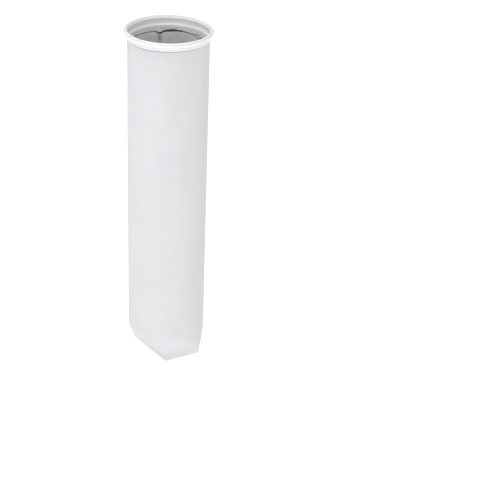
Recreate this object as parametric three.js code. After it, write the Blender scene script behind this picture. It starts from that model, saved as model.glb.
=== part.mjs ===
// Two-stage liquid filter bag: a felt bag with a V-shaped bottom weld hangs from a moulded seal ring,
// and a depth-filter core hangs inside it from a cloth funnel. Millimetres, +Z up.
// The origin is the centre of the seating plane, the flat underside of the seal lip.
// The bottom weld lies in the XZ plane and the front panel faces -Y.

import * as THREE from 'three';

// Clearance between pieces that touch
const gap = 0.3;

// Facets of every round piece; the bag panels take half of them each
const segments = 48;

// Outer bag
const bagRadius = 86;
const bagWall = 2.3;
const bagLength = 816; // top of the ring to the tip of the bottom weld
const bottomLength = 165; // tip of the weld to where the front and back are fully round
const bottomSideLength = 102; // the same at the sides
const bottomRows = 8;
const weldSlope = THREE.MathUtils.degToRad(29.6);
const weldEndHeight = 72; // tip of the weld to its ends, up the sides
const weldBend = 4; // how far from the side the weld starts to turn up
const weldWidth = 10;
const weldPly = 1.2; // one panel, pressed flat in the weld
const weldFadeStart = 0.6; // share of half the weld after which its pressing fades

// Seal ring
const ringTop = 8; // above the seating plane
const ringProud = 2.2; // beyond the felt
const ringWall = 1.8;
const ringBead = 0.6;
const ringBeadHeight = 3.6;
const ringCupDepth = 17; // top of the ring to its inner shelf
const ringShelfSlope = 1.6;
const ringSkirtDepth = 28.4; // top of the ring to the lower edge of its skirt
const ringRimLand = 1.2;
const ringRimTaper = 1.2;
const ringRimTaperDepth = 7.6;
const feltTopDepth = 18.6; // top of the ring to the upper edge of the felt

// Seal lip
const lipReach = 8.5;
const lipRootDrop = 0.2; // below the top of the ring
const lipRootLand = 1.1;
const lipUnderside = 2.2; // root's underside above the seating plane
const lipEdge = 1.4;
const lipLand = 3.8;
const lipChamfer = 0.6;

// Funnel cloth
const clothWall = 1.2;
const clothCuff = 4.5; // upright band under the ring's skirt
const clothNeckCuff = 4; // upright band round the collar's neck

// Core collar
const flangeDepth = 84; // top of the ring to the top of the flange
const flangeClearance = 3.7; // to the inside of the felt
const flangeWall = 2;
const flangeCorner = 2.4;
const flangeSkirt = 9;
const neckOffset = 3.5; // beyond the outside of the core
const neckHeight = 17;
const neckFlare = 3.2;
const neckWall = 2;
const spigotWall = 2;
const spigotLength = 20;

// Core: three layers, from the outside in
const annulus = 23.2; // between the core and the inside of the felt
const outerLayerWall = 4.9;
const fineLayerWall = 0.9;
const innerLayerWall = 5.3;
const domeClearance = 2; // between the dome and the bag's bottom
const domeRows = 8;

const feltInner = bagRadius - bagWall;
const feltTop = ringTop - feltTopDepth;
const tip = ringTop - bagLength;
const skirtOuter = feltInner - gap;
const ringOuter = bagRadius + ringProud;
const weldBand = weldWidth / Math.cos(weldSlope); // its height above the tip
const flangeTop = ringTop - flangeDepth;
const flangeRadius = feltInner - flangeClearance;
const coreTop = flangeTop - flangeWall - gap;
const coreOuter = feltInner - annulus;
const fineOuter = coreOuter - outerLayerWall - gap;
const innerOuter = fineOuter - fineLayerWall - gap;
const coreBore = innerOuter - innerLayerWall;
const neckRadius = coreOuter + neckOffset;

function standard(color, roughness) {
  return new THREE.MeshStandardMaterial({ color, roughness, metalness: 0 });
}

const materials = {
  ringPlastic: standard(0xf4f4f2, 0.4),
  lipPlastic: standard(0xd9dadb, 0.45),
  felt: standard(0xe2e3e6, 0.95),
  cloth: standard(0xb9bcc2, 0.8),
  collarPlastic: standard(0xd2d1bd, 0.5),
  innerMedia: standard(0xeeeeec, 0.95),
  fineMedia: standard(0xb4b6b9, 0.8),
  outerMedia: standard(0xf4f4f3, 0.95),
};

function named(name, geometry, material) {
  const mesh = new THREE.Mesh(geometry, material);
  mesh.name = name;
  return mesh;
}

// A profile of [radius, height] points, outer wall first and upwards, turned about +Z
function turned(profile) {
  const points = profile.map(([radius, height]) => new THREE.Vector2(radius, height));
  return new THREE.LatheGeometry(points, segments).rotateX(Math.PI / 2);
}

function turnedLoop(profile) {
  return turned([...profile, profile[0]]);
}

function sealRing() {
  const skirtInner = skirtOuter - ringWall;
  const cupInner = ringOuter - ringWall;
  const rimInner = ringOuter - ringRimLand;
  const skirtBottom = ringTop - ringSkirtDepth;
  const shoulder = feltTop + gap;
  const shelf = ringTop - ringCupDepth;
  const beadTop = shoulder + ringBeadHeight;
  return turnedLoop([
    [skirtOuter, skirtBottom],
    [skirtOuter, shoulder],
    [ringOuter - ringBead, shoulder],
    [ringOuter + ringBead / 2, shoulder + ringBead],
    [ringOuter + ringBead, shoulder + ringBeadHeight / 2],
    [ringOuter + ringBead / 2, beadTop - ringBead],
    [ringOuter, beadTop],
    [ringOuter, ringTop],
    [rimInner, ringTop],
    [cupInner, ringTop - ringRimTaperDepth],
    [cupInner - ringRimTaper / 2, shelf],
    [cupInner - ringRimTaper, shelf - ringShelfSlope / 2],
    [skirtInner + ringRimTaper, shelf - ringShelfSlope],
    [skirtInner, shelf - ringShelfSlope - ringRimTaper],
    [skirtInner, skirtBottom],
  ]);
}

function sealLip() {
  const root = ringOuter + gap;
  const rootTop = ringTop - lipRootDrop;
  const edge = root + lipReach;
  const middle = (root + lipRootLand + edge) / 2;
  return turnedLoop([
    [edge - lipChamfer - lipLand, 0],
    [edge - lipChamfer, 0],
    [edge, lipChamfer],
    [edge, lipEdge],
    [edge - lipChamfer, lipEdge + lipChamfer],
    [middle, (rootTop + lipEdge) / 2],
    [root + lipRootLand, rootTop - lipChamfer],
    [root + lipRootLand / 2, rootTop],
    [root, rootTop],
    [root, lipUnderside],
    [edge - lipChamfer - lipLand - lipUnderside, lipUnderside],
  ]);
}

// Half of the bottom weld, from its tip to its end, as [distance along X, height above the tip]
function weldPath() {
  const side = bagRadius;
  const bendStart = side - weldBend;
  const rise = Math.tan(weldSlope);
  const path = new THREE.Path();
  path.moveTo(0, 0);
  path.lineTo(bendStart, bendStart * rise);
  path.quadraticCurveTo(side, side * rise, side, weldEndHeight);
  return path;
}

// How flat the weld presses the felt: 1 along the V, fading to 0 at the ends of the weld
function pressed(across) {
  return 1 - THREE.MathUtils.smoothstep(Math.abs(across), weldFadeStart, 1);
}

// The outer edge of the weld on the outside of the front panel; across runs from -1 to 1
function weldEdge(path, across) {
  const weld = path.getPointAt(Math.abs(across));
  const depth = weldPly * pressed(across) + gap / 2;
  return new THREE.Vector3(Math.sign(across) * weld.x, -depth, tip + weld.y);
}

// A point on the outside of the front panel; climb runs from 0, above the weld, to 1, where it is round
function panelPoint(path, across, climb) {
  const angle = (across * Math.PI) / 2;
  const bulge = Math.sin((climb * Math.PI) / 2);
  const towardsSide = THREE.MathUtils.smoothstep(Math.abs(across), 0, 1);
  const roundHeight = tip + THREE.MathUtils.lerp(bottomLength, bottomSideLength, towardsSide);
  const point = weldEdge(path, across);
  point.x = THREE.MathUtils.lerp(point.x, bagRadius * Math.sin(angle), bulge);
  point.y = Math.min(THREE.MathUtils.lerp(point.y, -bagRadius * Math.cos(angle), bulge), -gap / 2);
  point.z = THREE.MathUtils.lerp(point.z + weldBand, roundHeight, climb);
  return point;
}

function inwards(path, across, climb) {
  const step = 0.001;
  const alongAcross = panelPoint(path, Math.min(across + step, 1), climb)
    .sub(panelPoint(path, Math.max(across - step, -1), climb));
  const alongClimb = panelPoint(path, across, Math.min(climb + step, 1))
    .sub(panelPoint(path, across, Math.max(climb - step, 0)));
  return alongClimb.cross(alongAcross).normalize();
}

// One column of the front panel, from the edge of the weld to the top, outside and inside
function panelColumn(path, across) {
  const outside = [];
  const inside = [];
  for (const height of [0, weldBand]) {
    const edge = weldEdge(path, across);
    edge.z += height;
    const back = edge.clone();
    back.x -= Math.sign(across) * bagWall * (1 - pressed(across));
    back.y = -gap / 2;
    outside.push(edge);
    inside.push(back);
  }
  for (let row = 1; row <= bottomRows; row++) {
    const climb = row / bottomRows;
    const point = panelPoint(path, across, climb);
    const back = point.clone().addScaledVector(inwards(path, across, climb), bagWall);
    back.y = Math.min(back.y, -gap / 2);
    outside.push(point);
    inside.push(back);
  }
  for (const column of [outside, inside]) {
    const top = column[column.length - 1].clone();
    top.z = feltTop;
    column.push(top);
  }
  return { outside, inside };
}

function panelColumns() {
  const path = weldPath();
  const columns = [];
  for (let i = 0; i <= segments / 2; i++) columns.push(panelColumn(path, (4 * i) / segments - 1));
  return columns;
}

// The front panel as a closed shell: outside, inside and the four edges between them
function bagPanel(columns) {
  const lastColumn = columns.length - 1;
  const lastRow = columns[0].outside.length - 1;
  const positions = [];
  const quad = (a, b, c, d) => {
    for (const point of [a, b, c, a, c, d]) positions.push(point.x, point.y, point.z);
  };
  for (let i = 0; i < lastColumn; i++) {
    const here = columns[i];
    const next = columns[i + 1];
    for (let j = 0; j < lastRow; j++) {
      quad(here.outside[j], next.outside[j], next.outside[j + 1], here.outside[j + 1]);
      quad(here.inside[j], here.inside[j + 1], next.inside[j + 1], next.inside[j]);
    }
    quad(here.inside[0], next.inside[0], next.outside[0], here.outside[0]);
    quad(here.outside[lastRow], next.outside[lastRow], next.inside[lastRow], here.inside[lastRow]);
  }
  const left = columns[0];
  const right = columns[lastColumn];
  for (let j = 0; j < lastRow; j++) {
    quad(left.inside[j], left.outside[j], left.outside[j + 1], left.inside[j + 1]);
    quad(right.outside[j], right.inside[j], right.inside[j + 1], right.outside[j + 1]);
  }
  const geometry = new THREE.BufferGeometry();
  geometry.setAttribute('position', new THREE.Float32BufferAttribute(positions, 3));
  geometry.computeVertexNormals();
  return geometry;
}

function funnelCloth() {
  const top = ringTop - ringSkirtDepth - gap;
  const cuffBottom = top - clothCuff;
  const neckInner = neckRadius + gap;
  const bottom = flangeTop + gap;
  const neckTop = bottom + clothNeckCuff;
  return turnedLoop([
    [neckInner + clothWall, bottom],
    [neckInner + clothWall, neckTop],
    [skirtOuter, cuffBottom],
    [skirtOuter, top],
    [skirtOuter - clothWall, top],
    [skirtOuter - clothWall, cuffBottom],
    [neckInner, neckTop],
    [neckInner, bottom],
  ]);
}

function coreCollar() {
  const spigotOuter = coreBore - gap;
  const spigotInner = spigotOuter - spigotWall;
  const underside = flangeTop - flangeWall;
  const neckTop = flangeTop + neckHeight;
  const skirtBottom = flangeTop - flangeSkirt;
  const spigotBottom = underside - spigotLength;
  return turnedLoop([
    [flangeRadius, skirtBottom],
    [flangeRadius, flangeTop - flangeCorner],
    [flangeRadius - flangeCorner * 0.3, flangeTop - flangeCorner * 0.3],
    [flangeRadius - flangeCorner, flangeTop],
    [neckRadius, flangeTop],
    [neckRadius, flangeTop + neckHeight * 0.3],
    [neckRadius + neckFlare * 0.4, flangeTop + neckHeight * 0.7],
    [neckRadius + neckFlare, neckTop],
    [neckRadius + neckFlare - neckWall, neckTop],
    [neckRadius + neckFlare * 0.4 - neckWall, flangeTop + neckHeight * 0.7],
    [neckRadius - neckWall, flangeTop + neckHeight * 0.3],
    [neckRadius - neckWall, flangeTop],
    [spigotInner + spigotWall, flangeTop],
    [spigotInner, flangeTop - spigotWall],
    [spigotInner, spigotBottom],
    [spigotOuter, spigotBottom],
    [spigotOuter, underside],
    [flangeRadius - flangeWall, underside],
    [flangeRadius - flangeWall, skirtBottom],
  ]);
}

// The lowest height of the dome's centre at which the dome clears the inside of the bag's bottom
function domeCentre(columns) {
  const reach = coreOuter + domeClearance;
  let height = tip;
  for (const { inside } of columns) {
    for (const point of inside) {
      const fromAxis = Math.hypot(point.x, point.y);
      if (fromAxis < reach) height = Math.max(height, point.z + Math.sqrt(reach ** 2 - fromAxis ** 2));
    }
  }
  return height;
}

// One layer of the core: a tube from the flange down to a round dome, all about the same dome centre
function coreLayer(outerRadius, wall, centre) {
  const innerRadius = outerRadius - wall;
  const outside = [];
  const inside = [];
  for (let row = 0; row <= domeRows; row++) {
    const angle = (row / domeRows) * (Math.PI / 2);
    const along = row ? Math.sin(angle) : 0;
    outside.push([outerRadius * along, centre - outerRadius * Math.cos(angle)]);
    inside.unshift([innerRadius * along, centre - innerRadius * Math.cos(angle)]);
  }
  return turned([...outside, [outerRadius, coreTop], [innerRadius, coreTop], ...inside]);
}

const frontColumns = panelColumns();
const centre = domeCentre(frontColumns);
const coreLayers = [
  ['core_inner_layer', innerOuter, innerLayerWall, materials.innerMedia],
  ['core_fine_layer', fineOuter, fineLayerWall, materials.fineMedia],
  ['core_outer_layer', coreOuter, outerLayerWall, materials.outerMedia],
];

const core = new THREE.Group();
core.add(named('core_collar', coreCollar(), materials.collarPlastic));
for (const [name, outerRadius, wall, material] of coreLayers) {
  core.add(named(name, coreLayer(outerRadius, wall, centre), material));
}

const filterBag = new THREE.Group();
filterBag.add(named('seal_ring', sealRing(), materials.ringPlastic));
filterBag.add(named('seal_lip', sealLip(), materials.lipPlastic));
filterBag.add(named('outer_bag_front_panel', bagPanel(frontColumns), materials.felt));

const backPanel = named('outer_bag_back_panel', bagPanel(frontColumns), materials.felt);
backPanel.rotation.z = Math.PI;
filterBag.add(backPanel);

filterBag.add(named('funnel_cloth', funnelCloth(), materials.cloth), core);

export default filterBag;
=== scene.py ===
import math

import bpy
from mathutils import Matrix, Vector, noise


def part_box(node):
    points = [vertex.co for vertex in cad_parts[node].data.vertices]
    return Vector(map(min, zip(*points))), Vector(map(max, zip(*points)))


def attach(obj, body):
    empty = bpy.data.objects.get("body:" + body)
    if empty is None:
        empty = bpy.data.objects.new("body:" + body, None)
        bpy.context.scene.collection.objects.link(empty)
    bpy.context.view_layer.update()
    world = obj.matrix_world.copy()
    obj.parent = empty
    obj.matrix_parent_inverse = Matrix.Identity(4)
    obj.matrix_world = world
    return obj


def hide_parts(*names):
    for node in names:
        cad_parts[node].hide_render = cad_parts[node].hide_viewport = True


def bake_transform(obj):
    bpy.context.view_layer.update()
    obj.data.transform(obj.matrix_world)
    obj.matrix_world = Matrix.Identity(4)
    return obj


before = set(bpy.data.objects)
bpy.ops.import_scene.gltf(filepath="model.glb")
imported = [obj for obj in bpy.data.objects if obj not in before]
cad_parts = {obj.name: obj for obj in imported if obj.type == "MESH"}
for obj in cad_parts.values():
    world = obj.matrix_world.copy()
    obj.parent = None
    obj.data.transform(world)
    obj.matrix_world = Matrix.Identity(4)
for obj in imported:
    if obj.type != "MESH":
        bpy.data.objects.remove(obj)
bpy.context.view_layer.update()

mm = 0.001
mergeDistance = 0.01 * mm


# Camera

cameraSetup = {
    "azimuth": 21.7,  # degrees
    "elevation": 28.67,
    "roll": -2.49,
    "lens": 97.5,
    "sensorWidth": 36,
    "clipStart": 0.05,
    "clipEnd": 50,
    "distance": 2.7855,  # from the middle of the ring's top
    "aside": 0.1867,
    "below": 0.4475,
}


def placeCamera():
    setup = cameraSetup
    azimuth = math.radians(setup["azimuth"])
    elevation = math.radians(setup["elevation"])
    roll = math.radians(setup["roll"])
    right = Vector((math.cos(azimuth), math.sin(azimuth), 0))
    flatBack = Vector((math.sin(azimuth), -math.cos(azimuth), 0))
    back = flatBack * math.cos(elevation) + Vector((0, 0, math.sin(elevation)))
    up = back.cross(right)
    target = Vector((0, 0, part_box("seal_ring")[1].z))
    place = target + right * setup["aside"] - up * setup["below"] + back * setup["distance"]
    turnedRight = right * math.cos(roll) - up * math.sin(roll)
    turnedUp = right * math.sin(roll) + up * math.cos(roll)
    data = bpy.data.cameras.new("camera")
    data.lens = setup["lens"]
    data.sensor_width = setup["sensorWidth"]
    data.clip_start = setup["clipStart"]
    data.clip_end = setup["clipEnd"]
    camera = bpy.data.objects.new("camera", data)
    bpy.context.scene.collection.objects.link(camera)
    turned = Matrix((turnedRight, turnedUp, back)).transposed()
    camera.matrix_world = Matrix.Translation(place) @ turned.to_4x4()
    bpy.context.scene.camera = camera


placeCamera()
print("camera placed")


# Small helpers for modelling


def deselectAll():
    for thing in bpy.context.selected_objects:
        thing.select_set(False)


def activate(piece):
    deselectAll()
    piece.select_set(True)
    bpy.context.view_layer.objects.active = piece


def editAll(piece):
    activate(piece)
    bpy.ops.object.mode_set(mode="EDIT")
    bpy.ops.mesh.select_all(action="SELECT")


def finishEdit(piece, smoothAngle):
    bpy.ops.object.mode_set(mode="OBJECT")
    activate(piece)
    bpy.ops.object.transform_apply(location=True, rotation=True, scale=True)
    bpy.ops.object.shade_smooth_by_angle(angle=math.radians(smoothAngle))


# Bevelled edges, with the points of very short ones merged so that the shell stays closed
def roundEdges(piece, width, segments):
    activate(piece)
    bevel = piece.modifiers.new("bevel", "BEVEL")
    bevel.width = width
    bevel.segments = segments
    bevel.limit_method = "ANGLE"
    bevel.angle_limit = math.radians(24)
    bpy.ops.object.modifier_apply(modifier=bevel.name)
    editAll(piece)
    bpy.ops.mesh.remove_doubles(threshold=mergeDistance)
    bpy.ops.object.mode_set(mode="OBJECT")


# An offset of -1 puts the wall inside the surface, and 1 puts it outside
def addWall(piece, thickness, offset):
    activate(piece)
    solid = piece.modifiers.new("wall", "SOLIDIFY")
    solid.thickness = thickness
    solid.offset = offset
    bpy.ops.object.modifier_apply(modifier=solid.name)


# A ring is drawn as a circle, pulled along its profile and closed on itself
def turnedRing(name, profile, facets):
    deselectAll()
    radius, height = profile[0]
    bpy.ops.mesh.primitive_circle_add(vertices=facets, radius=radius, location=(0, 0, height))
    piece = bpy.context.object
    piece.name = name
    bpy.ops.object.transform_apply(location=True)
    bpy.ops.object.mode_set(mode="EDIT")
    bpy.ops.mesh.select_mode(type="EDGE")
    bpy.ops.mesh.select_all(action="SELECT")
    for nextRadius, nextHeight in profile[1:]:
        rise = (0, 0, nextHeight - height)
        bpy.ops.mesh.extrude_region_move(TRANSFORM_OT_translate={"value": rise})
        scale = nextRadius / radius
        bpy.ops.transform.resize(value=(scale, scale, 1), center_override=(0, 0, nextHeight))
        radius, height = nextRadius, nextHeight
    bpy.ops.mesh.select_all(action="DESELECT")
    bpy.ops.mesh.select_non_manifold()
    bpy.ops.mesh.bridge_edge_loops()
    bpy.ops.mesh.select_all(action="SELECT")
    bpy.ops.mesh.normals_make_consistent(inside=False)
    bpy.ops.object.mode_set(mode="OBJECT")
    return piece


def smoothstep(value, low=0.0, high=1.0):
    share = min(max((value - low) / (high - low), 0), 1)
    return share * share * (3 - 2 * share)


def lerp(low, high, share):
    return low + (high - low) * share


def pointValues(piece, name, values):
    attribute = piece.data.attributes.new(name, "FLOAT", "POINT")
    attribute.data.foreach_set("value", values)


# Boxes of the frame's nodes that the pieces share

ringLow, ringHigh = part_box("seal_ring")
panelLow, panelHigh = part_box("outer_bag_front_panel")
lipLow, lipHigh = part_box("seal_lip")
clothLow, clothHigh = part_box("funnel_cloth")
collarLow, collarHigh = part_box("core_collar")

tip = panelLow.z
bagRadius = panelHigh.x
ringTop = ringHigh.z
print("frame read")


# Small helpers for shader nodes


def addNode(tree, kind, sockets=None, **settings):
    made = tree.nodes.new(kind)
    for name, value in settings.items():
        setattr(made, name, value)
    for name, value in (sockets or {}).items():
        if isinstance(value, bpy.types.NodeSocket):
            tree.links.new(value, made.inputs[name])
        else:
            made.inputs[name].default_value = value
    return made


def maths(tree, operation, first, second=None, clamp=False):
    sockets = {0: first} if second is None else {0: first, 1: second}
    return addNode(tree, "ShaderNodeMath", sockets, operation=operation, use_clamp=clamp).outputs[0]


def weighted(tree, first, firstShare, second, secondShare):
    weightedFirst = maths(tree, "MULTIPLY", first, firstShare)
    return maths(tree, "ADD", weightedFirst, maths(tree, "MULTIPLY", second, secondShare))


def ramp(tree, value, low, high, toLow=0.0, toHigh=1.0):
    sockets = {"Value": value, "From Min": low, "From Max": high, "To Min": toLow, "To Max": toHigh}
    return addNode(tree, "ShaderNodeMapRange", sockets, interpolation_type="SMOOTHSTEP").outputs["Result"]


def mixColour(tree, share, first, second):
    return addNode(tree, "ShaderNodeMix", {0: share, 6: first, 7: second}, data_type="RGBA").outputs[2]


def splitVector(tree, vector):
    return addNode(tree, "ShaderNodeSeparateXYZ", {"Vector": vector}).outputs


def noiseValue(tree, vector, scale, detail, roughness, stretch=None):
    if stretch:
        vector = addNode(tree, "ShaderNodeMapping", {"Vector": vector, "Scale": stretch}).outputs["Vector"]
    sockets = {"Vector": vector, "Scale": scale, "Detail": detail, "Roughness": roughness}
    return addNode(tree, "ShaderNodeTexNoise", sockets).outputs["Fac"]


# Slow unevenness, from 0 to 1
def blotches(tree, vector, scale, detail, roughness, stretch=None):
    return ramp(tree, noiseValue(tree, vector, scale, detail, roughness, stretch), 0.3, 0.7)


def sineWave(tree, value, turn):
    return maths(tree, "SINE", maths(tree, "MULTIPLY", value, turn))


def bump(tree, height, distance, normal=None):
    sockets = {"Height": height, "Distance": distance, "Strength": 1.0}
    if normal is not None:
        sockets["Normal"] = normal
    return addNode(tree, "ShaderNodeBump", sockets).outputs["Normal"]


def attributeValue(tree, name):
    return addNode(tree, "ShaderNodeAttribute", attribute_name=name).outputs["Fac"]


# Every group takes a place, and numbers that each material may set
def newGroup(name, numbers, outputs):
    group = bpy.data.node_groups.new(name, "ShaderNodeTree")
    group.interface.new_socket(name="Vector", in_out="INPUT", socket_type="NodeSocketVector")
    for label, value in numbers.items():
        socket = group.interface.new_socket(name=label, in_out="INPUT", socket_type="NodeSocketFloat")
        socket.default_value = value
    for label in outputs:
        group.interface.new_socket(name=label, in_out="OUTPUT", socket_type="NodeSocketFloat")
    return group, group.nodes.new("NodeGroupInput").outputs, group.nodes.new("NodeGroupOutput").inputs


def useGroup(tree, group, **sockets):
    return addNode(tree, "ShaderNodeGroup", sockets, node_tree=group).outputs


# Shader groups

fibreShape = {
    "upright": (1, 1, 0.16),  # stretch of the hairs that stand along the bag
    "lying": (0.22, 0.22, 1),
    "hairShare": 0.65,
    "clumpShare": 0.35,
    "dark": 0.42,  # heights where the tone starts and ends
    "pale": 0.64,
}


# Needled fibres: long hairs in two directions over soft clumps
def makeFibres():
    shape = fibreShape
    group, given, out = newGroup("fibres", {"Clump": 300.0, "Hair": 1500.0}, ["Height", "Tone"])
    upright = noiseValue(group, given["Vector"], given["Hair"], 2, 0.6, shape["upright"])
    lying = noiseValue(group, given["Vector"], given["Hair"], 2, 0.6, shape["lying"])
    clumps = noiseValue(group, given["Vector"], given["Clump"], 3, 0.55)
    hair = maths(group, "MAXIMUM", upright, lying)
    height = weighted(group, hair, shape["hairShare"], clumps, shape["clumpShare"])
    group.links.new(height, out["Height"])
    group.links.new(ramp(group, height, shape["dark"], shape["pale"]), out["Tone"])
    return group


weaveShape = {
    "gapEdge": 0.55,  # thread heights between which a gap darkens
    "threadEdge": 0.85,
}


# Plain weave from two sets of threads over the piece's own UV map, which is in metres
def makeWeave():
    group, given, out = newGroup("weave", {"Pitch": 0.5 * mm}, ["Height", "Gap"])
    split = splitVector(group, given["Vector"])
    turn = maths(group, "DIVIDE", math.pi, given["Pitch"])
    across = sineWave(group, split["X"], turn)
    along = sineWave(group, split["Y"], turn)
    warp = maths(group, "ABSOLUTE", across)
    weft = maths(group, "ABSOLUTE", along)
    over = maths(group, "ADD", maths(group, "MULTIPLY", maths(group, "MULTIPLY", across, along), 0.5), 0.5)
    warpPart = maths(group, "MULTIPLY", warp, over)
    weftPart = maths(group, "MULTIPLY", weft, maths(group, "SUBTRACT", 1.0, over))
    group.links.new(maths(group, "MAXIMUM", warpPart, weftPart), out["Height"])
    higher = maths(group, "MAXIMUM", warp, weft)
    gap = ramp(group, higher, weaveShape["gapEdge"], weaveShape["threadEdge"], 1, 0)
    group.links.new(gap, out["Gap"])
    return group


mouldedShape = {
    "grainShare": 0.4,
    "flowStretch": (1, 1, 3),
}


# Fine grain of a moulded surface with slow flow marks round the axis
def makeMoulded():
    group, given, out = newGroup("moulded", {"Grain": 900.0, "Flow": 40.0}, ["Height", "Flow"])
    grain = noiseValue(group, given["Vector"], given["Grain"], 2, 0.5)
    flow = noiseValue(group, given["Vector"], given["Flow"], 3, 0.6, mouldedShape["flowStretch"])
    fine = maths(group, "MULTIPLY", grain, mouldedShape["grainShare"])
    group.links.new(maths(group, "ADD", fine, flow), out["Height"])
    group.links.new(flow, out["Flow"])
    return group


wearShape = {
    "bend": (0.515, 0.57),  # pointiness where rubbing starts and is full
    "patch": (0.42, 0.62),
}


# Handling marks: rubbed, paler edges where the surface turns sharply
def makeEdgeWear():
    group, given, out = newGroup("edgeWear", {"Patches": 60.0}, ["Mask"])
    bent = group.nodes.new("ShaderNodeNewGeometry").outputs["Pointiness"]
    sharp = ramp(group, bent, *wearShape["bend"])
    patches = ramp(group, noiseValue(group, given["Vector"], given["Patches"], 4, 0.65), *wearShape["patch"])
    group.links.new(maths(group, "MULTIPLY", sharp, patches), out["Mask"])
    return group


dustShape = {
    "upward": (0.3, 0.95),
    "cloudScale": 30,
    "cloud": (0.45, 0.7),
    "cloudShare": 0.5,
    "speck": (0.62, 0.72),
}


# Light dust that settles where the surface looks up
def makeDust():
    shape = dustShape
    group, given, out = newGroup("dust", {"Specks": 500.0}, ["Mask"])
    facing = group.nodes.new("ShaderNodeNewGeometry").outputs["Normal"]
    upward = ramp(group, splitVector(group, facing)["Z"], *shape["upward"])
    cloud = ramp(group, noiseValue(group, given["Vector"], shape["cloudScale"], 4, 0.6), *shape["cloud"])
    specks = ramp(group, noiseValue(group, given["Vector"], given["Specks"], 1, 0.5), *shape["speck"])
    both = maths(group, "ADD", maths(group, "MULTIPLY", cloud, shape["cloudShare"]), specks, clamp=True)
    group.links.new(maths(group, "MULTIPLY", upward, both), out["Mask"])
    return group


fibres = makeFibres()
weave = makeWeave()
moulded = makeMoulded()
edgeWear = makeEdgeWear()
dust = makeDust()


# Materials


def grey(red, green=None, blue=None):
    return (red, red if green is None else green, red if blue is None else blue, 1)


def newMaterial(name, **fixed):
    made = bpy.data.materials.new(name)
    made.use_nodes = True
    tree = made.node_tree
    shader = tree.nodes["Principled BSDF"]
    for label, value in fixed.items():
        shader.inputs[label.replace("_", " ")].default_value = value
    coords = tree.nodes.new("ShaderNodeTexCoord").outputs
    return made, tree, shader, coords


feltLook = {
    "light": grey(0.785, 0.793, 0.812),
    "shade": grey(0.718, 0.725, 0.745),
    "pressed": grey(0.87, 0.872, 0.89),
    # Painted shade in the grooves of the weld's knurl
    "knurlGrooveShade": grey(0.74, 0.745, 0.765),
    # Painted shade: the dark line in the groove under the ring's bead
    "grooveAndShade": grey(0.2, 0.2, 0.21),
    "clump": 260.0,
    "hair": 1400.0,
    "hairHeight": 0.35 * mm,
    "fibreShare": 0.6,
    "blotch": 14,
    "blotchStretch": (1, 1, 0.5),
    "blotchShare": 0.4,
    "knurlPitch": 2.4 * mm,
    "knurlHeight": 0.25 * mm,
    "rough": 0.95,
    "pressedRough": 0.55,
    "sheen": 0.08,
    "sheenRough": 0.6,
    "ior": 1.35,
}


def makeFelt():
    look = feltLook
    made, tree, shader, coords = newMaterial(
        "felt", Sheen_Weight=look["sheen"], Sheen_Roughness=look["sheenRough"], IOR=look["ior"]
    )
    place = coords["Object"]
    fibre = useGroup(tree, fibres, Vector=place, Clump=look["clump"], Hair=look["hair"])
    blotch = blotches(tree, place, look["blotch"], 4, 0.6, look["blotchStretch"])
    tone = weighted(tree, fibre["Tone"], look["fibreShare"], blotch, look["blotchShare"])
    plain = mixColour(tree, tone, look["shade"], look["light"])
    pressed = attributeValue(tree, "pressed")
    flat = addNode(tree, "ShaderNodeUVMap", uv_map="cloth").outputs["UV"]
    split = splitVector(tree, flat)
    turn = math.pi / look["knurlPitch"]
    rising = maths(tree, "ADD", split["X"], split["Y"])
    falling = maths(tree, "SUBTRACT", split["X"], split["Y"])
    risingRidges = maths(tree, "ABSOLUTE", sineWave(tree, rising, turn))
    fallingRidges = maths(tree, "ABSOLUTE", sineWave(tree, falling, turn))
    pips = maths(tree, "MULTIPLY", risingRidges, fallingRidges)
    knurl = maths(tree, "MULTIPLY", pips, pressed)
    # The knurl's grooves are darkened with painted shade
    knurlShaded = mixColour(tree, ramp(tree, pips, 0.05, 0.5), look["knurlGrooveShade"], look["pressed"])
    welded = mixColour(tree, pressed, plain, knurlShaded)
    # Painted shade darkens the groove at the top of the felt, under the ring's bead
    grooveShaded = mixColour(tree, attributeValue(tree, "grooveAndShade"), welded, look["grooveAndShade"])
    rough = ramp(tree, pressed, 0, 1, look["rough"], look["pressedRough"])
    fibreBump = bump(tree, fibre["Height"], look["hairHeight"])
    tree.links.new(grooveShaded, shader.inputs["Base Color"])
    tree.links.new(rough, shader.inputs["Roughness"])
    tree.links.new(bump(tree, knurl, look["knurlHeight"], fibreBump), shader.inputs["Normal"])
    return made


ringLook = {
    "light": grey(0.78, 0.78, 0.785),
    "shade": grey(0.74, 0.742, 0.75),
    "paintedLight": grey(0.95),  # painted light: paler colour on the rim band and the outside
    "worn": grey(0.97),
    "rough": 0.36,
    "grain": 900,
    "flow": 40,
    "ior": 1.49,
}

lipLook = {
    "light": grey(0.8, 0.802, 0.805),
    "shade": grey(0.76, 0.762, 0.765),
    # Painted light for the lip's root land and outer edge; the hollow between keeps the darker colour as
    # painted shade
    "paintedLight": grey(0.92),
    "worn": grey(0.97),
    "rough": 0.42,
    "grain": 1100,
    "flow": 55,
    "ior": 1.45,
}

collarLook = {
    "light": grey(0.72, 0.71, 0.59),
    "shade": grey(0.66, 0.65, 0.53),
    "worn": grey(0.8, 0.79, 0.7),
    "rough": 0.42,
    "grain": 1000,
    "flow": 45,
    "ior": 1.49,
}

plasticFinish = {
    "dust": grey(0.7, 0.69, 0.67),
    "dustShare": 0.2,
    "wornShare": 0.6,
    "wornRough": 0.15,
    "roughSpread": 0.06,
    "grainHeight": 0.06 * mm,
}


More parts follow.
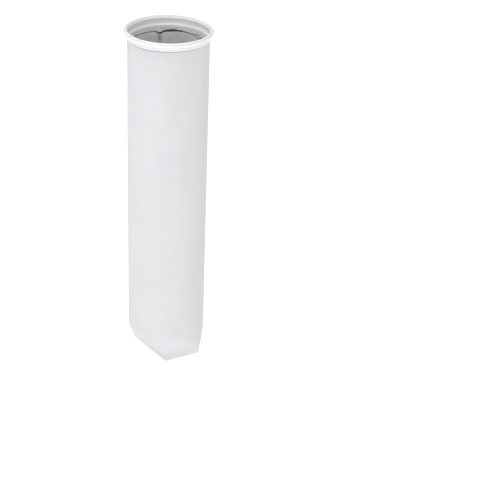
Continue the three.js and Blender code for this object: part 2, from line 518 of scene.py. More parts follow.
def makePlastic(name, look):
    finish = plasticFinish
    made, tree, shader, coords = newMaterial(name, IOR=look["ior"])
    place = coords["Object"]
    skin = useGroup(tree, moulded, Vector=place, Grain=look["grain"], Flow=look["flow"])
    worn = useGroup(tree, edgeWear, Vector=place)["Mask"]
    dusty = useGroup(tree, dust, Vector=place)["Mask"]
    plain = mixColour(tree, ramp(tree, skin["Flow"], 0.35, 0.65), look["shade"], look["light"])
    # Painted light: a paler colour laid over the parts that the point attribute marks
    if "paintedLight" in look:
        plain = mixColour(tree, attributeValue(tree, "paintedLight"), plain, look["paintedLight"])
    rubbed = mixColour(tree, maths(tree, "MULTIPLY", worn, finish["wornShare"]), plain, look["worn"])
    dustShare = maths(tree, "MULTIPLY", dusty, finish["dustShare"])
    smoothest = look["rough"] - finish["roughSpread"]
    roughest = look["rough"] + finish["roughSpread"]
    rough = ramp(tree, skin["Flow"], 0.3, 0.7, smoothest, roughest)
    wornRough = maths(tree, "ADD", rough, maths(tree, "MULTIPLY", worn, finish["wornRough"]))
    tree.links.new(mixColour(tree, dustShare, rubbed, finish["dust"]), shader.inputs["Base Color"])
    tree.links.new(wornRough, shader.inputs["Roughness"])
    tree.links.new(bump(tree, skin["Height"], finish["grainHeight"]), shader.inputs["Normal"])
    return made


clothLook = {
    "light": grey(0.53, 0.533, 0.545),
    "shade": grey(0.48, 0.483, 0.495),
    "gap": grey(0.35, 0.353, 0.365),
    "gapShare": 0.5,
    "hem": grey(0.78, 0.782, 0.79),
    # Painted shade: the dark colour laid in the pocket under the skirt, in the pleat, along the seam and
    # deeper down the cone
    "paintedShade": grey(0.085, 0.085, 0.09),
    "pitch": 0.45 * mm,
    "threadHeight": 0.1 * mm,
    "blotch": 60,
    "gapRough": 0.8,
    "threadRough": 0.55,
    "sheen": 0.3,
    "sheenRough": 0.45,
    "ior": 1.45,
}


def makeCloth():
    look = clothLook
    made, tree, shader, coords = newMaterial(
        "cloth", Sheen_Weight=look["sheen"], Sheen_Roughness=look["sheenRough"], IOR=look["ior"]
    )
    flat = addNode(tree, "ShaderNodeUVMap", uv_map="cloth").outputs["UV"]
    threads = useGroup(tree, weave, Vector=flat, Pitch=look["pitch"])
    uneven = blotches(tree, coords["Object"], look["blotch"], 3, 0.6)
    plain = mixColour(tree, uneven, look["shade"], look["light"])
    woven = mixColour(tree, maths(tree, "MULTIPLY", threads["Gap"], look["gapShare"]), plain, look["gap"])
    hemmed = mixColour(tree, attributeValue(tree, "hem"), woven, look["hem"])
    # Painted shade from the point attribute darkens the cloth
    withPaintedShade = mixColour(tree, attributeValue(tree, "paintedShade"), hemmed, look["paintedShade"])
    tree.links.new(withPaintedShade, shader.inputs["Base Color"])
    rough = ramp(tree, threads["Height"], 0, 1, look["gapRough"], look["threadRough"])
    tree.links.new(rough, shader.inputs["Roughness"])
    tree.links.new(bump(tree, threads["Height"], look["threadHeight"]), shader.inputs["Normal"])
    return made


mediaLooks = {
    "innerMedia": {"light": grey(0.82), "shade": grey(0.74), "clump": 240, "hair": 1300, "height": 0.3 * mm},
    "fineMedia": {
        "light": grey(0.52, 0.525, 0.535),
        "shade": grey(0.44, 0.445, 0.455),
        "clump": 420,
        "hair": 2600,
        "height": 0.12 * mm,
    },
    "outerMedia": {"light": grey(0.84), "shade": grey(0.77), "clump": 280, "hair": 1500, "height": 0.3 * mm},
}


mediaFinish = {
    "fibreShare": 0.6,
    "bands": 22,
    "bandStretch": (0.4, 0.4, 2.5),
    "bandShare": 0.4,
    "rough": 0.98,
    "paleRough": 0.86,
    "sheen": 0.2,
    "sheenRough": 0.6,
    "ior": 1.4,
}


def makeMedia(name):
    look = mediaLooks[name]
    finish = mediaFinish
    made, tree, shader, coords = newMaterial(
        name, Sheen_Weight=finish["sheen"], Sheen_Roughness=finish["sheenRough"], IOR=finish["ior"]
    )
    place = coords["Object"]
    fibre = useGroup(tree, fibres, Vector=place, Clump=look["clump"], Hair=look["hair"])
    bands = blotches(tree, place, finish["bands"], 3, 0.6, finish["bandStretch"])
    tone = weighted(tree, fibre["Tone"], finish["fibreShare"], bands, finish["bandShare"])
    rough = ramp(tree, fibre["Tone"], 0, 1, finish["rough"], finish["paleRough"])
    tree.links.new(mixColour(tree, tone, look["shade"], look["light"]), shader.inputs["Base Color"])
    tree.links.new(rough, shader.inputs["Roughness"])
    tree.links.new(bump(tree, fibre["Height"], look["height"]), shader.inputs["Normal"])
    return made


felt = makeFelt()
cloth = makeCloth()
ringPlastic = makePlastic("ringPlastic", ringLook)
lipPlastic = makePlastic("lipPlastic", lipLook)
collarPlastic = makePlastic("collarPlastic", collarLook)
innerMedia = makeMedia("innerMedia")
fineMedia = makeMedia("fineMedia")
outerMedia = makeMedia("outerMedia")


def dress(piece, material):
    piece.data.materials.clear()
    piece.data.materials.append(material)


print("materials made")


# Seal ring and lip

ringSizes = {
    "facets": 256,
    "wall": 1.8 * mm,
    "bead": 0.6 * mm,
    "beadHeight": 3.6 * mm,
    "beadDrop": 18.1 * mm,  # rim to the underside of the bead
    "rimLand": 0.6 * mm,
    "rimCorner": (0.3 * mm, 0.4 * mm),  # width and height cut off the rim's outer corner
    "rollHeight": 8.1 * mm,  # the thicker rolled rim inside the mouth
    "rollDepth": 1 * mm,
    "rollShape": [(1, 0.12), (-0.3, 0.5), (-1, 0.85), (-0.85, 0.95)],  # out by depths, down by heights
    "cupDraft": 0.4 * mm,
    "ledgeDrop": 17.5 * mm,  # rim to the top of the inner ledge
    "ledgeHeight": 3.4 * mm,
    "ledgeShape": [(0.28, 0.15), (0.65, 0.42), (0.92, 0.75)],  # in by widths, down by heights
    "rounding": 0.3 * mm,
    "paintedLightDepth": (0.9 * mm, 0.5 * mm),  # where the painted light on the outside starts and is full
    "paintedLightFade": 0.3 * mm,
}


def makeSealRing():
    sizes = ringSizes
    bead = sizes["bead"]
    outer = ringHigh.x - bead
    cup = outer - sizes["wall"]
    skirtOuter = clothHigh.x
    skirtInner = skirtOuter - sizes["wall"]
    bottom = ringLow.z
    shoulder = ringTop - sizes["beadDrop"]
    beadTop = shoulder + sizes["beadHeight"]
    cornerWidth, cornerHeight = sizes["rimCorner"]
    roll = sizes["rollDepth"]
    rollHeight = sizes["rollHeight"]
    rollEnd = ringTop - rollHeight
    ledge = ringTop - sizes["ledgeDrop"]
    ledgeHeight = sizes["ledgeHeight"]
    ledgeWidth = cup - skirtInner
    piece = turnedRing("sealRing", [
        (skirtOuter, bottom),
        (skirtOuter, shoulder),
        (outer - bead, shoulder),
        (outer + bead / 2, shoulder + bead),
        (outer + bead, shoulder + sizes["beadHeight"] / 2),
        (outer + bead / 2, beadTop - bead),
        (outer, beadTop),
        (outer, ringTop - cornerHeight),
        (outer - cornerWidth, ringTop),
        (outer - sizes["rimLand"], ringTop),
        *[(cup + roll * out, ringTop - rollHeight * down) for out, down in sizes["rollShape"]],
        (cup, rollEnd),
        (cup - sizes["cupDraft"], ledge),
        *[(cup - ledgeWidth * inwards, ledge - ledgeHeight * down) for inwards, down in sizes["ledgeShape"]],
        (skirtInner, ledge - ledgeHeight),
        (skirtInner, bottom),
    ], sizes["facets"])
    roundEdges(piece, sizes["rounding"], segments=3)
    finishEdit(piece, smoothAngle=30)
    # Painted light on the rim band above the roll and on the outside; the cup wall below keeps the darker
    # colour as painted shade
    paintedLightStart, paintedLightFull = sizes["paintedLightDepth"]
    fade = sizes["paintedLightFade"]
    paintedLight = []
    for vertex in piece.data.vertices:
        high = smoothstep(vertex.co.z, rollEnd - fade, rollEnd + fade)
        outside = smoothstep(vertex.co.xy.length, outer - paintedLightStart, outer - paintedLightFull)
        paintedLight.append(max(high, outside))
    pointValues(piece, "paintedLight", paintedLight)
    dress(piece, ringPlastic)
    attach(piece, "bag")
    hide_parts("seal_ring")


lipSizes = {
    "facets": 224,
    "reach": 8.5 * mm,
    "rootLand": 1.1 * mm,
    "underside": 2.2 * mm,
    "edge": 2.4 * mm,
    "undercut": 1.6 * mm,
    "land": 3.8 * mm,
    "chamfer": 0.6 * mm,
    "edgeRise": 0.6,  # of the chamfer, where the slope meets the edge
    "hollowReach": 3 * mm,  # corner that the hollow slope bends round
    "hollowHeight": 3.4 * mm,
    "hollowSteps": 12,
    "hollowEnd": 5.2 * mm,  # from the root to where the painted light on the edge starts
    "rootFade": 0.7 * mm,
    "edgeFade": 1 * mm,
    "rounding": 0.12 * mm,
}


def makeSealLip():
    sizes = lipSizes
    edge = lipHigh.x
    root = edge - sizes["reach"]
    rootLand = sizes["rootLand"]
    top = lipHigh.z
    bottom = lipLow.z
    chamfer = sizes["chamfer"]
    underside = bottom + sizes["underside"]
    landInner = edge - chamfer - sizes["land"]
    slopeTop = Vector((root + rootLand, top - chamfer))
    slopeBottom = Vector((edge - chamfer, bottom + sizes["edge"] + chamfer * sizes["edgeRise"]))
    hollow = Vector((root + sizes["hollowReach"], bottom + sizes["hollowHeight"]))
    slope = []
    for step in range(1, sizes["hollowSteps"]):
        share = step / sizes["hollowSteps"]
        point = slopeBottom.lerp(hollow, share).lerp(hollow.lerp(slopeTop, share), share)
        slope.append((point.x, point.y))
    piece = turnedRing("sealLip", [
        (landInner, bottom),
        (edge - chamfer - sizes["undercut"], bottom),
        (edge - sizes["undercut"], bottom + chamfer),
        (edge, bottom + sizes["edge"]),
        tuple(slopeBottom),
        *slope,
        tuple(slopeTop),
        (root + rootLand / 2, top),
        (root, top),
        (root, underside),
        (landInner - sizes["underside"], underside),
    ], sizes["facets"])
    roundEdges(piece, sizes["rounding"], segments=2)
    finishEdit(piece, smoothAngle=30)
    # Painted light on the root land and the outer edge, painted shade in the hollow slope between
    paintedLight = []
    for vertex in piece.data.vertices:
        reach = vertex.co.xy.length - root
        fromRoot = smoothstep(reach, rootLand, rootLand + sizes["rootFade"])
        fromEdge = 1 - smoothstep(reach, sizes["hollowEnd"] - sizes["edgeFade"], sizes["hollowEnd"])
        paintedLight.append(1 - fromRoot * fromEdge)
    pointValues(piece, "paintedLight", paintedLight)
    dress(piece, lipPlastic)
    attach(piece, "bag")
    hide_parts("seal_lip")


makeSealRing()
makeSealLip()
print("seal ring and lip made")


# Felt panels

bagSizes = {
    "wall": 2.3 * mm,
    "halfGap": 0.1 * mm,
    "bottomLength": 165 * mm,
    "bottomSideLength": 102 * mm,
    "weldSlope": 29.6,  # degrees
    "weldEndHeight": 72 * mm,
    "weldBend": 4 * mm,
    "weldBendSteps": 24,
    "weldWidth": 10 * mm,
    "weldPly": 1.2 * mm,
    "weldFadeStart": 0.6,
    "wallGrowth": 0.06,  # share of the bottom in which the pressed felt swells to its full wall
    "pressedFade": 0.03,
    "columns": 96,
    "weldRows": 8,
    "bottomRows": 60,
    "tubeRows": 110,
    "tubeCrowding": 1.9,
    "joinHeight": 1.5 * mm,  # groove where the felt is welded to the ring, darkened there with painted shade
    "joinDepth": 1.1 * mm,
}

slackSizes = {
    "height": 0.5 * mm,
    "belowRing": 60 * mm,  # grows over this length
    "aboveTip": (20 * mm, 120 * mm),
    "stretch": 0.35,  # along the bag
    "scale": 14,
    "fineScale": 45,
    "fineShare": 0.35,
}

weldRise = math.tan(math.radians(bagSizes["weldSlope"]))
weldBand = bagSizes["weldWidth"] / math.cos(math.radians(bagSizes["weldSlope"]))


# Points along half of the bottom weld, straight and then turning up the side
def weldLine():
    start = bagRadius - bagSizes["weldBend"]
    foot = Vector((start, start * weldRise))
    corner = Vector((bagRadius, bagRadius * weldRise))
    end = Vector((bagRadius, bagSizes["weldEndHeight"]))
    points = [Vector((0, 0)), foot]
    steps = bagSizes["weldBendSteps"]
    for step in range(1, steps + 1):
        share = step / steps
        points.append(foot.lerp(corner, share).lerp(corner.lerp(end, share), share))
    return points


weldPoints = weldLine()
weldLengths = [0.0]
for before, after in zip(weldPoints, weldPoints[1:]):
    weldLengths.append(weldLengths[-1] + (after - before).length)


def weldPoint(share):
    wanted = share * weldLengths[-1]
    for index in range(1, len(weldLengths)):
        if wanted <= weldLengths[index] or index == len(weldLengths) - 1:
            span = weldLengths[index] - weldLengths[index - 1]
            return weldPoints[index - 1].lerp(weldPoints[index], (wanted - weldLengths[index - 1]) / span)


def pressedShare(across):
    return 1 - smoothstep(abs(across), bagSizes["weldFadeStart"], 1)


def weldEdge(across):
    point = weldPoint(abs(across))
    depth = bagSizes["weldPly"] * pressedShare(across) + bagSizes["halfGap"]
    return Vector((math.copysign(point.x, across), -depth, tip + point.y))


# Outside of the front panel: climb is 0 above the weld and 1 where the bag is round
def panelPoint(across, climb):
    angle = across * math.pi / 2
    bulge = math.sin(climb * math.pi / 2)
    towardsSide = smoothstep(abs(across))
    roundHeight = tip + lerp(bagSizes["bottomLength"], bagSizes["bottomSideLength"], towardsSide)
    point = weldEdge(across)
    point.x = lerp(point.x, bagRadius * math.sin(angle), bulge)
    point.y = min(lerp(point.y, -bagRadius * math.cos(angle), bulge), -bagSizes["halfGap"])
    point.z = lerp(point.z + weldBand, roundHeight, climb)
    return point


def panelInwards(across, climb):
    step = 0.001
    alongAcross = panelPoint(min(across + step, 1), climb) - panelPoint(max(across - step, -1), climb)
    alongClimb = panelPoint(across, min(climb + step, 1)) - panelPoint(across, max(climb - step, 0))
    return alongClimb.cross(alongAcross).normalized()


# Gentle waves of hanging felt, none at the ring and little at the weld
def slack(point, side):
    sizes = slackSizes
    below = smoothstep(panelHigh.z - point.z, 0, sizes["belowRing"])
    above = smoothstep(point.z - tip, *sizes["aboveTip"])
    spot = Vector((point.x * side, point.y * side, point.z * sizes["stretch"]))
    wave = noise.noise(spot * sizes["scale"]) + sizes["fineShare"] * noise.noise(spot * sizes["fineScale"])
    return wave * sizes["height"] * below * above


# Rows crowd together towards the ring, where the felt is pressed into its joint
def tubeShare(share):
    return 1 - (1 - share) ** bagSizes["tubeCrowding"]


# Each row is a point outside, a point inside, how far the felt is pressed, and how far it is grooved and
# darkened with painted shade at the ring
def panelColumn(across, side):
    sizes = bagSizes
    wall = sizes["wall"]
    pressed = pressedShare(across)
    rows = []
    for row in range(sizes["weldRows"] + 1):
        outer = weldEdge(across)
        outer.z += weldBand * (row / sizes["weldRows"])
        inner = outer.copy()
        inner.x -= math.copysign(wall * (1 - pressed), across)
        inner.y = -sizes["halfGap"]
        rows.append((outer, inner, pressed, 0))
    for row in range(1, sizes["bottomRows"] + 1):
        climb = row / sizes["bottomRows"]
        outer = panelPoint(across, climb)
        inwards = panelInwards(across, climb)
        inner = outer + inwards * lerp(sizes["weldPly"], wall, smoothstep(climb, 0, sizes["wallGrowth"]))
        inner.y = min(inner.y, -sizes["halfGap"])
        outer -= inwards * slack(outer, side)
        rows.append((outer, inner, pressed * (1 - smoothstep(climb, 0, sizes["pressedFade"])), 0))
    foot = rows[-1][0].z
    out = Vector((math.sin(across * math.pi / 2), -math.cos(across * math.pi / 2), 0))
    for row in range(1, sizes["tubeRows"] + 1):
        height = lerp(foot, panelHigh.z, tubeShare(row / sizes["tubeRows"]))
        outer = out * bagRadius + Vector((0, -sizes["halfGap"], height))
        inner = outer - out * wall
        grooveAndShade = smoothstep(height, panelHigh.z - sizes["joinHeight"], panelHigh.z - sizes["joinHeight"] / 3)
        outer += out * slack(outer, side)
        outer -= out * sizes["joinDepth"] * grooveAndShade
        rows.append((outer, inner, 0, grooveAndShade))
    return rows


# A panel starts as a flat grid with the cloth's own UV map, then takes the bag's shape.
# The back panel, side -1, is the same shape turned half way round the axis
def makePanel(name, node, side):
    columns = bagSizes["columns"]
    rowCount = bagSizes["weldRows"] + bagSizes["bottomRows"] + bagSizes["tubeRows"]
    deselectAll()
    bpy.ops.mesh.primitive_grid_add(x_subdivisions=columns, y_subdivisions=rowCount, size=2)
    piece = bpy.context.object
    piece.name = name
    facing = Vector((side, side, 1))
    shaped = [panelColumn(2 * index / columns - 1, side) for index in range(columns + 1)]
    outers, inners, pressed, grooveShaded, flats = [], [], [], [], []
    for vertex in piece.data.vertices:
        column = round((vertex.co.x + 1) / 2 * columns)
        row = round((vertex.co.y + 1) / 2 * rowCount)
        outer, inner, press, grooveAndShade = shaped[column][row]
        outers.append(outer * facing)
        inners.append(inner * facing)
        pressed.append(press)
        grooveShaded.append(grooveAndShade)
        flats.append(((column / columns - 0.5) * math.pi * bagRadius, outer.z - tip))
    uv = piece.data.uv_layers.active
    uv.name = "cloth"
    for loop in piece.data.loops:
        uv.data[loop.index].uv = flats[loop.vertex_index]
    addWall(piece, bagSizes["wall"], offset=-1)
    for vertex, place in zip(piece.data.vertices, outers + inners):
        vertex.co = place
    pointValues(piece, "pressed", pressed * 2)
    pointValues(piece, "grooveAndShade", grooveShaded * 2)
    editAll(piece)
    bpy.ops.mesh.normals_make_consistent(inside=False)
    finishEdit(piece, smoothAngle=40)
    dress(piece, felt)
    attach(piece, "bag")
    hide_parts(node)


makePanel("frontPanel", "outer_bag_front_panel", 1)
makePanel("backPanel", "outer_bag_back_panel", -1)
print("felt panels made")


# Core

coreSizes = {
    "facets": 144,
    "rings": 72,
    "wallSteps": 24,
    "cutAbove": 0.01 * mm,  # the sphere is cut this far above its middle row of points
    "outerWall": 4.9 * mm,
    "fineWall": 0.9 * mm,
    "innerWall": 5.3 * mm,
}


# A layer is the lower half of a sphere, drawn up to the flange and given its wall
def makeCoreLayer(name, node, wall, material):
    sizes = coreSizes
    low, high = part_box(node)
    radius = high.x
    centre = low.z + radius
    cut = (0, 0, centre + sizes["cutAbove"])
    deselectAll()
    bpy.ops.mesh.primitive_uv_sphere_add(
        segments=sizes["facets"], ring_count=sizes["rings"], radius=radius, location=(0, 0, centre)
    )
    piece = bpy.context.object
    piece.name = name
    bpy.ops.object.transform_apply(location=True)
    bpy.ops.object.mode_set(mode="EDIT")
    bpy.ops.mesh.select_all(action="SELECT")
    bpy.ops.mesh.bisect(plane_co=cut, plane_no=(0, 0, 1), clear_outer=True)
    bpy.ops.mesh.select_all(action="DESELECT")
    bpy.ops.mesh.select_non_manifold()
    rise = (0, 0, (high.z - centre) / sizes["wallSteps"])
    for _ in range(sizes["wallSteps"]):
        bpy.ops.mesh.extrude_region_move(TRANSFORM_OT_translate={"value": rise})
    bpy.ops.object.mode_set(mode="OBJECT")
    addWall(piece, wall, offset=-1)
    finishEdit(piece, smoothAngle=40)
    dress(piece, material)
    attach(piece, "core")
    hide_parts(node)


makeCoreLayer("coreInnerLayer", "core_inner_layer", coreSizes["innerWall"], innerMedia)
makeCoreLayer("coreFineLayer", "core_fine_layer", coreSizes["fineWall"], fineMedia)
makeCoreLayer("coreOuterLayer", "core_outer_layer", coreSizes["outerWall"], outerMedia)

collarSizes = {
    "facets": 192,
    "flangeWall": 2 * mm,
    "flangeCorner": 2.4 * mm,
    "flangeSkirt": 9 * mm,
    "neckRadius": 64 * mm,
    "neckHeight": 17 * mm,
    "neckFlare": 3.2 * mm,
    "neckShape": [(0, 0.3), (0.15, 0.5), (0.4, 0.7), (1, 1)],  # out by flares, up by heights
    "neckWall": 2 * mm,
    "spigotWall": 2 * mm,
    "spigotGap": 0.3 * mm,
    "cornerCut": 0.3,  # of the flange's corner
    "rounding": 0.4 * mm,
}


def makeCoreCollar():
    sizes = collarSizes
    flangeRadius = collarHigh.x
    flangeInner = flangeRadius - sizes["flangeWall"]
    top = collarHigh.z - sizes["neckHeight"]
    underside = top - sizes["flangeWall"]
    skirtEnd = top - sizes["flangeSkirt"]
    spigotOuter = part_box("core_inner_layer")[1].x - coreSizes["innerWall"] - sizes["spigotGap"]
    spigotInner = spigotOuter - sizes["spigotWall"]
    corner = sizes["flangeCorner"]
    cut = corner * sizes["cornerCut"]
    neck = sizes["neckRadius"]
    neckInner = neck - sizes["neckWall"]
    flared = [(sizes["neckFlare"] * out, top + sizes["neckHeight"] * up) for out, up in sizes["neckShape"]]
    piece = turnedRing("coreCollar", [
        (flangeRadius, skirtEnd),
        (flangeRadius, top - corner),
        (flangeRadius - cut, top - cut),
        (flangeRadius - corner, top),
        (neck, top),
        *[(neck + out, height) for out, height in flared],
        *[(neckInner + out, height) for out, height in reversed(flared)],
        (neckInner, top),
        (spigotOuter, top),
        (spigotInner, top - sizes["spigotWall"]),
        (spigotInner, collarLow.z),
        (spigotOuter, collarLow.z),
        (spigotOuter, underside),
        (flangeInner, underside),
        (flangeInner, skirtEnd),
    ], sizes["facets"])
    roundEdges(piece, sizes["rounding"], segments=3)
    finishEdit(piece, smoothAngle=30)
    dress(piece, collarPlastic)
    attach(piece, "core")
    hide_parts("core_collar")


makeCoreCollar()
print("core made")


# Funnel cloth: a hem under the skirt, a pocket darkened with painted shade, a turned-in lip, the cone, and a
# cuff at the neck

funnelSizes = {
    "columns": 360,
    "rows": 72,
    "wall": 0.8 * mm,
    "hemInset": 1.7 * mm,  # from the skirt's outside
    "hemDrop": 3.6 * mm,  # usual height of the white hem under the skirt
    "leastHemDrop": 0.3 * mm,
    "pocketHeight": 1.4 * mm,
    "pocketDepth": 0.9 * mm,
    "lipDepth": 3.2 * mm,
    "lipDrop": 1.4 * mm,
    "neckRadius": 64.3 * mm,
    "neckCuff": 4 * mm,
    "flatLength": 62 * mm,  # along the cone, before it is hung
    "hemShare": 0.16,  # where each part ends, as shares of the rows
    "pocketShare": 0.28,
    "lipShare": 0.42,
    "coneShare": 0.94,
    "pocketTurn": 0.2,  # how fast the pocket opens and its painted shade darkens, as shares of its height
    "pocketDark": 0.15,
    # how fast the painted shade fades over the turned-in lip, as a share of it
    "lipDark": 0.45,
}

# Where the hem dips or rises round the ring: angle, spread and change of height
hemWaves = [
    (129, 4.5, 4.0 * mm),
    (107, 13, -3.4 * mm),
    (66, 13, 4.6 * mm),
    (20, 16, -1.8 * mm),
    (318, 9, 2.6 * mm),
    (262, 15, -2.0 * mm),
    (228, 6, 2.4 * mm),
]

# The pocket opens widest where the cloth is pulled up to the skirt
pocketWaves = [
    (111, 15, 4.6 * mm),
    (129, 5, 2.4 * mm),
    (20, 14, 2.2 * mm),
    (262, 13, 2.4 * mm),
]

seamSizes = {
    "angle": 129.6,
    "spread": 2.6,
    "ridge": 1.3 * mm,
    # Painted shade along the seam's ridge
    "paintedShade": 0.25,
    "paintedShadeEnds": (0.1, 0.9),
    "lapSpread": 14,
    "lapDepth": 0.7 * mm,
    "shadowSpread": 4,
    "shadow": 0.42,
    "shadowEnds": (0, 0.5),
}

pleatSizes = {
    "angle": 70,
    "spread": 12,
    "drop": 4.4 * mm,
    "height": 1.25 * mm,
    "depth": 0.7 * mm,
    # Painted shade in the pleat
    "paintedShade": 0.95,
}

foldSizes = {
    "height": 1.0 * mm,
    "scale": 4,
    "rise": 0.8,
    "fineScale": 13,
    "fineRise": 1.6,
    "fineShare": 0.45,
    # Painted shade, darker lower down the cone
    "paintedShade": 0.12,
    "paintedShadeEnds": (0, 0.5),
}


def angleBetween(first, second):
    return abs((first - second + 180) % 360 - 180)


def bell(distance, spread):
    return math.exp(-((distance / spread) ** 2))


def hump(angle, middle, spread):
    return bell(angleBetween(angle, middle), spread)


def withWaves(height, angle, waves):
    for middle, spread, change in waves:
        height += change * hump(angle, middle, spread)
    return height


def foldNoise(turn, climb, scale, rise):
    return noise.noise(Vector((math.cos(turn) * scale, math.sin(turn) * scale, climb * rise)))


def folds(turn, climb):
    sizes = foldSizes
    wide = foldNoise(turn, climb, sizes["scale"], sizes["rise"])
    return wide + sizes["fineShare"] * foldNoise(turn, climb, sizes["fineScale"], sizes["fineRise"])


# Place on the cloth, with how white its hem is and how dark its painted shade is
def funnelPoint(angle, share):
    sizes = funnelSizes
    turn = math.radians(angle)
    hemRadius = clothHigh.x - sizes["hemInset"]
    pocketRadius = hemRadius + sizes["pocketDepth"]
    lipRadius = pocketRadius - sizes["lipDepth"]
    hemBottom = clothHigh.z - max(withWaves(sizes["hemDrop"], angle, hemWaves), sizes["leastHemDrop"])
    pocketBottom = hemBottom - withWaves(sizes["pocketHeight"], angle, pocketWaves)
    lipBottom = pocketBottom - sizes["lipDrop"]
    neckTop = clothLow.z + sizes["neckCuff"]
    hem, paintedShade = 0.0, 0.0
    if share < sizes["hemShare"]:
        height = lerp(clothHigh.z, hemBottom, share / sizes["hemShare"])
        pleat = hump(angle, pleatSizes["angle"], pleatSizes["spread"])
        pleat *= bell(clothHigh.z - height - pleatSizes["drop"], pleatSizes["height"])
        radius = hemRadius + pleatSizes["depth"] * pleat
        hem = 1.0
        # Painted shade in the pleat
        paintedShade = pleatSizes["paintedShade"] * pleat
    elif share < sizes["pocketShare"]:
        climb = (share - sizes["hemShare"]) / (sizes["pocketShare"] - sizes["hemShare"])
        height = lerp(hemBottom, pocketBottom, climb)
        radius = lerp(hemRadius, pocketRadius, smoothstep(climb, 0, sizes["pocketTurn"]))
        # Painted shade darkens the pocket as it opens
        paintedShade = smoothstep(climb, 0, sizes["pocketDark"])
        hem = 1 - paintedShade
    elif share < sizes["lipShare"]:
        climb = (share - sizes["pocketShare"]) / (sizes["lipShare"] - sizes["pocketShare"])
        turnIn = climb * math.pi / 2
        radius = pocketRadius - sizes["lipDepth"] * math.sin(turnIn)
        height = lipBottom + sizes["lipDrop"] * math.cos(turnIn)
        # Painted shade fades over the turned-in lip
        paintedShade = 1 - smoothstep(climb, 0, sizes["lipDark"])
    elif share < sizes["coneShare"]:
        climb = (share - sizes["lipShare"]) / (sizes["coneShare"] - sizes["lipShare"])
        seam = seamSizes
        ridge = hump(angle, seam["angle"], seam["spread"])
        beyondSeam = smoothstep((angle - seam["angle"] + 180) % 360 - 180, -1, 1)
        lap = beyondSeam * hump(angle, seam["angle"], seam["lapSpread"])
        fade = math.sin(climb * math.pi) ** 0.5
        height = lerp(lipBottom, neckTop, climb)
        radius = lerp(lipRadius, sizes["neckRadius"], climb)
        radius -= fade * foldSizes["height"] * folds(turn, climb)
        radius += fade * (seam["ridge"] * ridge - seam["lapDepth"] * lap)
        shadow = hump(angle, seam["angle"], seam["shadowSpread"])
        # Painted shade: darker lower down the cone, along the seam's ridge, and a painted shadow below the
        # seam's notch
        paintedShade = foldSizes["paintedShade"] * smoothstep(climb, *foldSizes["paintedShadeEnds"])
        paintedShade += seam["paintedShade"] * ridge * (1 - smoothstep(climb, *seam["paintedShadeEnds"]))
        paintedShade += seam["shadow"] * shadow * (1 - smoothstep(climb, *seam["shadowEnds"]))
    else:
        climb = (share - sizes["coneShare"]) / (1 - sizes["coneShare"])
        height = lerp(neckTop, clothLow.z, climb)
        radius = sizes["neckRadius"]
    return Vector((radius * math.cos(turn), radius * math.sin(turn), height)), hem, paintedShade


def makeFunnelCloth():
    sizes = funnelSizes
    deselectAll()
    bpy.ops.mesh.primitive_grid_add(x_subdivisions=sizes["columns"], y_subdivisions=sizes["rows"], size=2)
    piece = bpy.context.object
    piece.name = "funnelCloth"
    uv = piece.data.uv_layers.active
    uv.name = "cloth"
    flatWidth = 2 * math.pi * clothHigh.x
    flatLength = sizes["flatLength"]
    hems, paintedShades, flats = [], [], []
    for vertex in piece.data.vertices:
        around = (vertex.co.x + 1) / 2
        share = (1 - vertex.co.y) / 2
        flats.append((around * flatWidth, share * flatLength))
        vertex.co, hem, paintedShade = funnelPoint(around * 360 + seamSizes["angle"] - 180, share)
        hems.append(hem)
        paintedShades.append(paintedShade)
    for loop in piece.data.loops:
        uv.data[loop.index].uv = flats[loop.vertex_index]
    pointValues(piece, "hem", hems)
    pointValues(piece, "paintedShade", paintedShades)
    editAll(piece)
    bpy.ops.mesh.remove_doubles(threshold=mergeDistance)
    bpy.ops.mesh.normals_make_consistent(inside=False)
    bpy.ops.object.mode_set(mode="OBJECT")
    addWall(piece, sizes["wall"], offset=1)
    finishEdit(piece, smoothAngle=60)
    dress(piece, cloth)
    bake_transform(piece)
    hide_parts("funnel_cloth")


makeFunnelCloth()
print("funnel cloth made")


# Tack welds that hold the cloth to the skirt, one modelled and copied round the ring

tackSizes = {
    "count": 13,
    "radius": 1.7 * mm,
    "thickness": 0.6,  # of the radius
    "height": 0.8,
    "drop": 1.1 * mm,  # below the skirt's edge
}


def makeTackWelds():
    sizes = tackSizes
    seat = clothHigh.x - funnelSizes["hemInset"]
    height = ringLow.z - sizes["drop"]
    axis = (0, 0, height)
    step = 2 * math.pi / sizes["count"]
    deselectAll()
    bpy.ops.mesh.primitive_ico_sphere_add(subdivisions=3, radius=sizes["radius"], location=(seat, 0, height))
    piece = bpy.context.object
    piece.name = "tackWelds"
    piece.scale = (sizes["thickness"], 1, sizes["height"])
    bpy.ops.object.transform_apply(location=True, scale=True)
    bpy.ops.object.mode_set(mode="EDIT")
    bpy.ops.mesh.select_all(action="SELECT")
    start = math.radians(seamSizes["angle"])
    bpy.ops.transform.rotate(value=-start, orient_axis="Z", center_override=axis)
    for _ in range(sizes["count"] - 1):
        bpy.ops.mesh.duplicate()
        bpy.ops.transform.rotate(value=-step, orient_axis="Z", center_override=axis)
    finishEdit(piece, smoothAngle=60)
    # The tack welds take the ring's painted-light colour all over, as bright specks
    pointValues(piece, "paintedLight", [1.0] * len(piece.data.vertices))
    dress(piece, ringPlastic)
    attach(piece, "bag")


makeTackWelds()
print("tack welds made")


# Floor and light

studio = {
    "sky": 0.75,  # what lights the bag
    "seenSky": 1,
    "floorSize": 14,
    "floorDrop": 0.5 * mm,
    "floorRough": 0.9,
    "floorGlow": 0.6,  # what the camera sees
    "floorBounce": 0.34,  # what the bag gets
    "floorPaint": (grey(0.72), grey(0.73)),
}

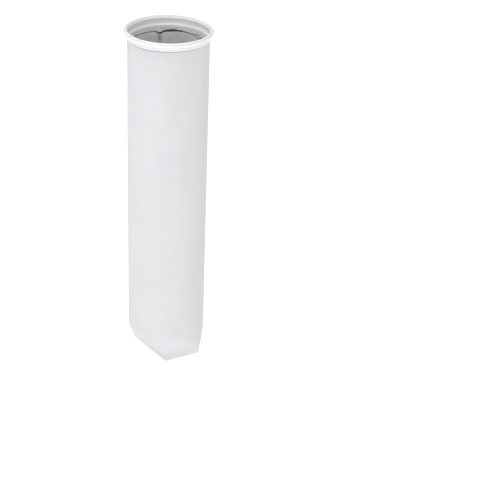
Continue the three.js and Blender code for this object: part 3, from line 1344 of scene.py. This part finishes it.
softboxes = {
    "frontSoftbox": {
        "azimuth": 12,
        "distance": 2.4,
        "height": -0.3,
        "aimHeight": -0.3,
        "width": 2.6,
        "tall": 1.0,
        "power": 6.8,
    },
    "topSoftbox": {
        "azimuth": -20,
        "distance": 0.9,
        "height": 2.4,
        "aimHeight": 0,
        "width": 1.4,
        "tall": 1.4,
        "power": 24,
    },
    "backSoftbox": {
        "azimuth": 200,
        "distance": 2.4,
        "height": 0.6,
        "aimHeight": -0.3,
        "width": 1.8,
        "tall": 1.2,
        "power": 4,
    },
}


def makeFloor():
    deselectAll()
    bpy.ops.mesh.primitive_plane_add(size=studio["floorSize"], location=(0, 0, tip - studio["floorDrop"]))
    floor = bpy.context.object
    floor.name = "floor"
    made, tree, shader, coords = newMaterial("floorPaint", Roughness=studio["floorRough"])
    shader.inputs["Emission Color"].default_value = grey(1.0)
    seen = tree.nodes.new("ShaderNodeLightPath").outputs["Is Camera Ray"]
    glow = ramp(tree, seen, 0, 1, studio["floorBounce"], studio["floorGlow"])
    tree.links.new(glow, shader.inputs["Emission Strength"])
    paint = mixColour(tree, blotches(tree, coords["Object"], 3, 3, 0.5), *studio["floorPaint"])
    tree.links.new(paint, shader.inputs["Base Color"])
    floor.data.materials.append(made)


def addSoftbox(name, box):
    data = bpy.data.lights.new(name, "AREA")
    data.shape = "RECTANGLE"
    data.size = box["width"]
    data.size_y = box["tall"]
    data.energy = box["power"]
    light = bpy.data.objects.new(name, data)
    bpy.context.scene.collection.objects.link(light)
    turn = math.radians(box["azimuth"])
    light.location = (box["distance"] * math.sin(turn), -box["distance"] * math.cos(turn), box["height"])
    aim = Vector((0, 0, box["aimHeight"])) - light.location
    light.rotation_euler = aim.to_track_quat("-Z", "Y").to_euler()
    light.visible_camera = False


def makeStudio():
    world = bpy.data.worlds.new("studio")
    bpy.context.scene.world = world
    world.use_nodes = True
    tree = world.node_tree
    background = tree.nodes["Background"]
    background.inputs["Color"].default_value = grey(1.0)
    seen = tree.nodes.new("ShaderNodeLightPath").outputs["Is Camera Ray"]
    tree.links.new(ramp(tree, seen, 0, 1, studio["sky"], studio["seenSky"]), background.inputs["Strength"])
    for name, box in softboxes.items():
        addSoftbox(name, box)
    bpy.context.scene.view_settings.view_transform = "Standard"


makeFloor()
makeStudio()
print("floor and light made")
